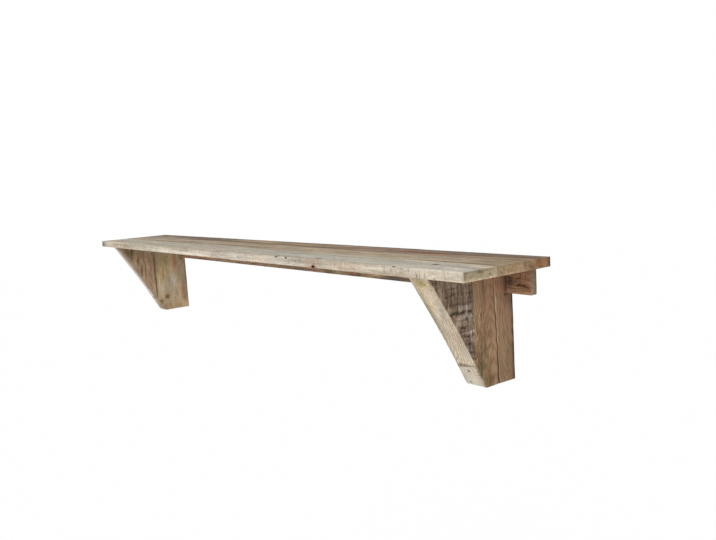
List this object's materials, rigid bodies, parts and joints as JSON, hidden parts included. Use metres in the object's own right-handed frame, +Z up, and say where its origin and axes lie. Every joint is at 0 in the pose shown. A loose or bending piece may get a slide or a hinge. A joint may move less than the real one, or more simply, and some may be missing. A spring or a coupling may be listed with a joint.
{
  "type": "wall shelf",
  "caption": "Long wall shelf of reclaimed timber boards on a wall rail and solid triangular brackets sawn on a diagonal.",
  "frame": {"origin": "on the wall, in the middle of the row of wall screws in the rail", "axes": "+Z up, +X to the right of someone who faces the shelf, -Y out into the room, +Y into the wall"},
  "size_m": [1.8, 0.248, 0.265],
  "materials": {
    "board_grey": "weathered grey-white, matt",
    "board_tan": "weathered tan, matt",
    "board_brown": "weathered dark brown, matt",
    "rail_wood": "old brown batten, matt",
    "post_brown": "old brown plank with drying cracks, matt",
    "post_tan": "old grey-tan plank, matt",
    "wedge_rough": "rough-sawn grey-brown plank with a pale sawn diagonal",
    "wedge_brown": "old brown plank with a pale sawn diagonal",
    "pellet_wood": "stained wooden pellet, matt",
    "dowel_beech": "plain beech",
    "screw_steel": "zinc-plated, dull"
  },
  "bodies": {
    "root": {"top_board_front": "board_grey", "top_board_middle": "board_tan", "top_board_rear": "board_brown", "wall_rail": "rail_wood", "left_bracket_post": "post_tan", "left_bracket_wedge": "wedge_brown", "right_bracket_post": "post_brown", "right_bracket_wedge": "wedge_rough", "top_screws_left": "screw_steel", "top_screws_right": "screw_steel", "rail_top_screws": "screw_steel", "rail_screw_left": "screw_steel", "rail_screw_right": "screw_steel", "top_pellets_left": "pellet_wood", "top_pellets_right": "pellet_wood", "rail_top_pellets": "pellet_wood", "bracket_dowels_left": "dowel_beech", "bracket_dowels_right": "dowel_beech", "board_tongue_front": "dowel_beech", "board_tongue_rear": "dowel_beech"}
  },
  "joints": []
}
